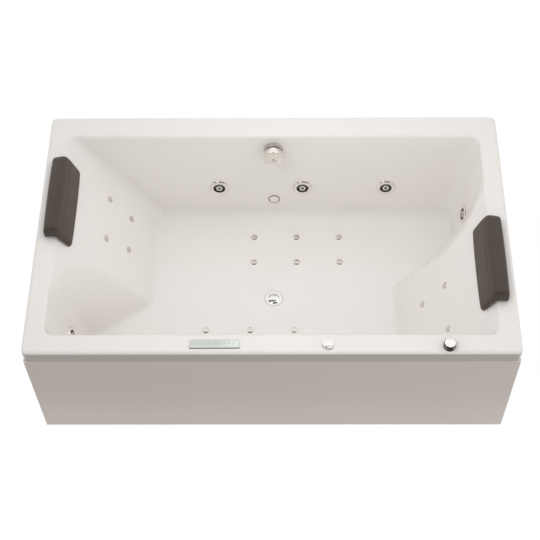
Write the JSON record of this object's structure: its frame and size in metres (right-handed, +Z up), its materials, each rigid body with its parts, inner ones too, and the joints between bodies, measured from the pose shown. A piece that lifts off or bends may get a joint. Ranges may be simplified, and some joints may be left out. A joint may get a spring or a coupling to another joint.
{
  "type": "jetted bathtub",
  "caption": "Rectangular two-person jetted bathtub with facing reclined backrests, diagonal footwells, foam headrests, water and air jets, pump, blower, waste and a front apron.",
  "frame": {"origin": "on the floor, under the middle of the deck", "axes": "+X along the tub to its right end, +Y to the back (wall) side, +Z up; the apron faces -Y"},
  "size_m": [1.8, 1.1, 0.6342],
  "materials": {
    "white_acrylic": "glossy white sanitary acrylic",
    "galvanised_steel": "zinc grey, satin",
    "bright_steel": "bright zinc",
    "black_plastic": "matt black",
    "floor_board": "chipboard, raw",
    "grey_foam": "satin grey-brown integral skin foam",
    "white_fitting_plastic": "white moulding",
    "chrome_trim": "bright plated",
    "nozzle_plastic": "pale plated plastic",
    "white_pipe": "white pipe",
    "clear_hose": "milky hose",
    "grey_hose": "grey pipe",
    "lens": "milky lens",
    "pad_frame": "grey frame",
    "mint_glass": "pale mint printed glass",
    "motor_paint": "dark blue-grey enamel",
    "blower_plastic": "black moulding",
    "box_plastic": "light grey box"
  },
  "bodies": {
    "tub": {"air_jet_bodies": "white_fitting_plastic", "air_jet_caps": "chrome_trim", "air_pipes": "clear_hose", "air_valve_body": "white_fitting_plastic", "apron_clips": "galvanised_steel", "blower_case": "blower_plastic", "blower_hose": "grey_hose", "control_box": "box_plastic", "control_box_lid": "box_plastic", "control_lines": "black_plastic", "cross_rails": "galvanised_steel", "drain_body": "white_fitting_plastic", "drain_ring": "chrome_trim", "equipment_trays": "galvanised_steel", "fitting_nuts": "white_fitting_plastic", "floor_board": "floor_board", "foot_lock_nuts": "bright_steel", "front_apron": "white_acrylic", "jet_air_line": "clear_hose", "jet_bodies": "white_fitting_plastic", "jet_flanges": "chrome_trim", "left_headrest": "grey_foam", "light_body": "white_fitting_plastic", "light_lens": "lens", "long_rails": "galvanised_steel", "overflow_base": "chrome_trim", "overflow_elbow": "white_fitting_plastic", "overflow_pipe": "grey_hose", "plug_cable": "black_plastic", "pump_motor": "motor_paint", "pump_wet_end": "black_plastic", "push_button_body": "white_fitting_plastic", "right_headrest": "grey_foam", "rim_posts": "galvanised_steel", "suction_body": "white_fitting_plastic", "suction_cover": "chrome_trim", "touch_pad_frame": "pad_frame", "touch_pad_glass": "mint_glass", "tub_shell": "white_acrylic", "water_pipes": "white_pipe"},
    "overflow_knob": {"overflow_knob": "chrome_trim"},
    "popup_plug": {"popup_plug": "chrome_trim"},
    "push_button": {"push_button": "chrome_trim"},
    "air_valve_knob": {"air_valve_knob": "chrome_trim"},
    "pump_rotor": {"pump_rotor": "motor_paint"},
    "blower_rotor": {"blower_rotor": "blower_plastic"},
    "back_left_jet_nozzle": {"back_left_jet_nozzle": "nozzle_plastic"},
    "back_middle_jet_nozzle": {"back_middle_jet_nozzle": "nozzle_plastic"},
    "back_right_jet_nozzle": {"back_right_jet_nozzle": "nozzle_plastic"},
    "right_foot_jet_nozzle": {"right_foot_jet_nozzle": "nozzle_plastic"},
    "front_right_jet_nozzle": {"front_right_jet_nozzle": "nozzle_plastic"},
    "front_middle_jet_nozzle": {"front_middle_jet_nozzle": "nozzle_plastic"},
    "front_left_jet_nozzle": {"front_left_jet_nozzle": "nozzle_plastic"},
    "left_foot_jet_nozzle": {"left_foot_jet_nozzle": "nozzle_plastic"},
    "back_left_foot": {"back_left_foot": "black_plastic"},
    "back_middle_foot": {"back_middle_foot": "black_plastic"},
    "back_right_foot": {"back_right_foot": "black_plastic"},
    "front_left_foot": {"front_left_foot": "black_plastic"},
    "front_middle_foot": {"front_middle_foot": "black_plastic"},
    "front_right_foot": {"front_right_foot": "black_plastic"}
  },
  "joints": [
    {"name": "overflow_knob_turn", "type": "hinge", "parent": "tub", "child": "overflow_knob", "pos_m": [0, 0.43987, 0.507], "axis": [0, -0.9965, 0.0837], "range_deg": [0, 90]},
    {"name": "popup_plug_lift", "type": "slide", "parent": "tub", "child": "popup_plug", "axis": [0, 0, 1], "range_m": [0, 0.012]},
    {"name": "push_button_press", "type": "slide", "parent": "tub", "child": "push_button", "axis": [0, 0, -1], "range_m": [0, 0.003], "stiffness_N_per_m": 400, "springref_m": -0.002},
    {"name": "air_valve_turn", "type": "hinge", "parent": "tub", "child": "air_valve_knob", "pos_m": [0.637, -0.522, 0.58], "axis": [0, 0, 1], "range_deg": [0, 180]},
    {"name": "back_left_jet_tilt", "type": "hinge", "parent": "tub", "child": "back_left_jet_nozzle", "pos_m": [-0.23, 0.42436, 0.27451], "axis": [1, 0, 0], "range_deg": [-12, 12]},
    {"name": "back_middle_jet_tilt", "type": "hinge", "parent": "tub", "child": "back_middle_jet_nozzle", "pos_m": [0.12, 0.42436, 0.27451], "axis": [1, 0, 0], "range_deg": [-12, 12]},
    {"name": "back_right_jet_tilt", "type": "hinge", "parent": "tub", "child": "back_right_jet_nozzle", "pos_m": [0.47, 0.42436, 0.27451], "axis": [1, 0, 0], "range_deg": [-12, 12]},
    {"name": "right_foot_jet_tilt", "type": "hinge", "parent": "tub", "child": "right_foot_jet_nozzle", "pos_m": [0.79002, 0.278, 0.27663], "axis": [0, -1, 0], "range_deg": [-12, 12]},
    {"name": "front_right_jet_tilt", "type": "hinge", "parent": "tub", "child": "front_right_jet_nozzle", "pos_m": [0.23, -0.44836, 0.27451], "axis": [-1, 0, 0], "range_deg": [-12, 12]},
    {"name": "front_middle_jet_tilt", "type": "hinge", "parent": "tub", "child": "front_middle_jet_nozzle", "pos_m": [-0.12, -0.44836, 0.27451], "axis": [-1, 0, 0], "range_deg": [-12, 12]},
    {"name": "front_left_jet_tilt", "type": "hinge", "parent": "tub", "child": "front_left_jet_nozzle", "pos_m": [-0.47, -0.44836, 0.27451], "axis": [-1, 0, 0], "range_deg": [-12, 12]},
    {"name": "left_foot_jet_tilt", "type": "hinge", "parent": "tub", "child": "left_foot_jet_nozzle", "pos_m": [-0.79002, -0.302, 0.27663], "axis": [0, 1, 0], "range_deg": [-12, 12]},
    {"name": "pump_spin", "type": "hinge", "parent": "tub", "child": "pump_rotor", "pos_m": [0.735, -0.45, 0.17932], "axis": [1, 0, 0], "continuous": true},
    {"name": "blower_spin", "type": "hinge", "parent": "tub", "child": "blower_rotor", "pos_m": [-0.79, 0.39, 0.1], "axis": [0, 0, 1], "continuous": true},
    {"name": "front_left_foot_screw", "type": "slide", "parent": "tub", "child": "front_left_foot", "axis": [0, 0, -1], "range_m": [-0.004, 0.015]},
    {"name": "front_middle_foot_screw", "type": "slide", "parent": "tub", "child": "front_middle_foot", "axis": [0, 0, -1], "range_m": [-0.004, 0.015]},
    {"name": "front_right_foot_screw", "type": "slide", "parent": "tub", "child": "front_right_foot", "axis": [0, 0, -1], "range_m": [-0.004, 0.015]},
    {"name": "back_left_foot_screw", "type": "slide", "parent": "tub", "child": "back_left_foot", "axis": [0, 0, -1], "range_m": [-0.004, 0.015]},
    {"name": "back_middle_foot_screw", "type": "slide", "parent": "tub", "child": "back_middle_foot", "axis": [0, 0, -1], "range_m": [-0.004, 0.015]},
    {"name": "back_right_foot_screw", "type": "slide", "parent": "tub", "child": "back_right_foot", "axis": [0, 0, -1], "range_m": [-0.004, 0.015]}
  ],
  "couplings": [
    {"joint": "popup_plug_lift", "follows": "overflow_knob_turn", "m_per_rad": 0.007638}
  ]
}
